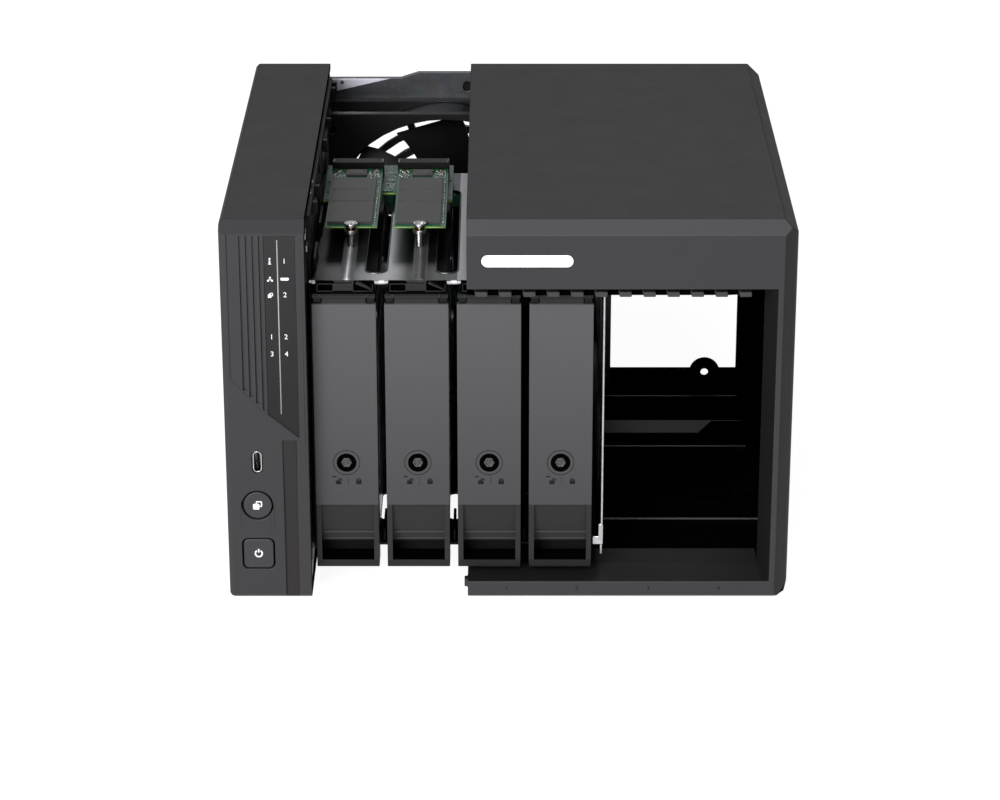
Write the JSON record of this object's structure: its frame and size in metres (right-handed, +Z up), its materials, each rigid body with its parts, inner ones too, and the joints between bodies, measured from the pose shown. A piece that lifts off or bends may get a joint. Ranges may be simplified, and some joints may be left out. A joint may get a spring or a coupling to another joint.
{
  "type": "network attached storage",
  "caption": "Desktop drive-bay network storage unit with its wrap-round housing slid open, drive trays with pull handles, M.2 modules on a riser and a rear fan.",
  "frame": {"origin": "centre of the footprint at rest, on the surface the feet stand on", "axes": "+Z up; the front with the drive trays faces -Y; the housing slides along X, open towards +X"},
  "size_m": [0.235, 0.228, 0.169],
  "materials": {
    "graphite_shell": "fine satin moulded texture",
    "smoked_panel": "dark translucent, satin",
    "black_plastic": "matte",
    "tray_grey": "satin",
    "connector_steel": "bright",
    "circuit_board": "solder mask over copper traces",
    "cast_aluminium": "satin cast",
    "galvanised_steel": "galvanised sheet",
    "brass": "turned",
    "white_badge": "satin",
    "rubber": "matte"
  },
  "bodies": {
    "chassis": {"left_side_cover": "graphite_shell", "led_panel": "smoked_panel", "chassis_wall": "black_plastic", "dc_power_jack": "black_plastic", "fan_frame": "black_plastic", "tray_catch_1": "black_plastic", "tray_catch_2": "black_plastic", "tray_catch_3": "black_plastic", "tray_catch_4": "black_plastic", "m2_connector_1": "black_plastic", "m2_connector_2": "black_plastic", "usb_c_port": "connector_steel", "ethernet_port_1": "connector_steel", "ethernet_port_2": "connector_steel", "usb_port_stack": "connector_steel", "hdmi_port": "connector_steel", "m2_screw_1": "connector_steel", "m2_screw_2": "connector_steel", "front_io_board": "circuit_board", "mainboard": "circuit_board", "memory_module_1": "circuit_board", "memory_module_2": "circuit_board", "backplane_board": "circuit_board", "m2_riser_board": "circuit_board", "m2_module_1": "circuit_board", "m2_module_2": "circuit_board", "cpu_heatsink": "cast_aluminium", "rear_panel": "galvanised_steel", "io_shield": "galvanised_steel", "drive_cage": "galvanised_steel", "m2_standoff_1": "brass", "m2_standoff_2": "brass", "foot_left_front": "rubber", "foot_left_rear": "rubber"},
    "housing": {"housing_cover": "graphite_shell", "front_badge": "white_badge", "foot_right_front": "rubber", "foot_right_rear": "rubber"},
    "tray_1": {"tray_frame_1": "black_plastic", "hard_drive_1": "cast_aluminium"},
    "handle_1": {"tray_handle_1": "tray_grey"},
    "lock_1": {"tray_lock_1": "black_plastic"},
    "tray_2": {"tray_frame_2": "black_plastic", "hard_drive_2": "cast_aluminium"},
    "handle_2": {"tray_handle_2": "tray_grey"},
    "lock_2": {"tray_lock_2": "black_plastic"},
    "tray_3": {"tray_frame_3": "black_plastic", "hard_drive_3": "cast_aluminium"},
    "handle_3": {"tray_handle_3": "tray_grey"},
    "lock_3": {"tray_lock_3": "black_plastic"},
    "tray_4": {"tray_frame_4": "black_plastic", "hard_drive_4": "cast_aluminium"},
    "handle_4": {"tray_handle_4": "tray_grey"},
    "lock_4": {"tray_lock_4": "black_plastic"},
    "fan": {"fan_rotor": "black_plastic"},
    "power_key": {"power_button": "graphite_shell"},
    "copy_key": {"copy_button": "graphite_shell"}
  },
  "joints": [
    {"name": "housing_slide", "type": "slide", "parent": "chassis", "child": "housing", "axis": [1, 0, 0], "range_m": [-0.065, 0.06]},
    {"name": "tray_1_slide", "type": "slide", "parent": "chassis", "child": "tray_1", "axis": [0, -1, 0], "range_m": [0, 0.15]},
    {"name": "handle_1_pivot", "type": "hinge", "parent": "tray_1", "child": "handle_1", "pos_m": [-0.0677, -0.1031, 0.1332], "axis": [-1, 0, 0], "range_deg": [0, 40]},
    {"name": "lock_1_turn", "type": "hinge", "parent": "handle_1", "child": "lock_1", "pos_m": [-0.0677, -0.104, 0.0601], "axis": [0, 1, 0], "range_deg": [0, 90]},
    {"name": "tray_2_slide", "type": "slide", "parent": "chassis", "child": "tray_2", "axis": [0, -1, 0], "range_m": [0, 0.15]},
    {"name": "handle_2_pivot", "type": "hinge", "parent": "tray_2", "child": "handle_2", "pos_m": [-0.0379, -0.1031, 0.1332], "axis": [-1, 0, 0], "range_deg": [0, 40]},
    {"name": "lock_2_turn", "type": "hinge", "parent": "handle_2", "child": "lock_2", "pos_m": [-0.0379, -0.104, 0.0601], "axis": [0, 1, 0], "range_deg": [0, 90]},
    {"name": "tray_3_slide", "type": "slide", "parent": "chassis", "child": "tray_3", "axis": [0, -1, 0], "range_m": [0, 0.15]},
    {"name": "handle_3_pivot", "type": "hinge", "parent": "tray_3", "child": "handle_3", "pos_m": [-0.0081, -0.1031, 0.1332], "axis": [-1, 0, 0], "range_deg": [0, 40]},
    {"name": "lock_3_turn", "type": "hinge", "parent": "handle_3", "child": "lock_3", "pos_m": [-0.0081, -0.104, 0.0601], "axis": [0, 1, 0], "range_deg": [0, 90]},
    {"name": "tray_4_slide", "type": "slide", "parent": "chassis", "child": "tray_4", "axis": [0, -1, 0], "range_m": [0, 0.15]},
    {"name": "handle_4_pivot", "type": "hinge", "parent": "tray_4", "child": "handle_4", "pos_m": [0.0217, -0.1031, 0.1332], "axis": [-1, 0, 0], "range_deg": [0, 40]},
    {"name": "lock_4_turn", "type": "hinge", "parent": "handle_4", "child": "lock_4", "pos_m": [0.0217, -0.104, 0.0601], "axis": [0, 1, 0], "range_deg": [0, 90]},
    {"name": "fan_spin", "type": "hinge", "parent": "chassis", "child": "fan", "pos_m": [-0.02885, 0.0958, 0.0938], "axis": [0, 1, 0], "continuous": true},
    {"name": "power_press", "type": "slide", "parent": "chassis", "child": "power_key", "axis": [0, 1, 0], "range_m": [0, 0.001], "stiffness_N_per_m": 500},
    {"name": "copy_press", "type": "slide", "parent": "chassis", "child": "copy_key", "axis": [0, 1, 0], "range_m": [0, 0.001], "stiffness_N_per_m": 500}
  ]
}
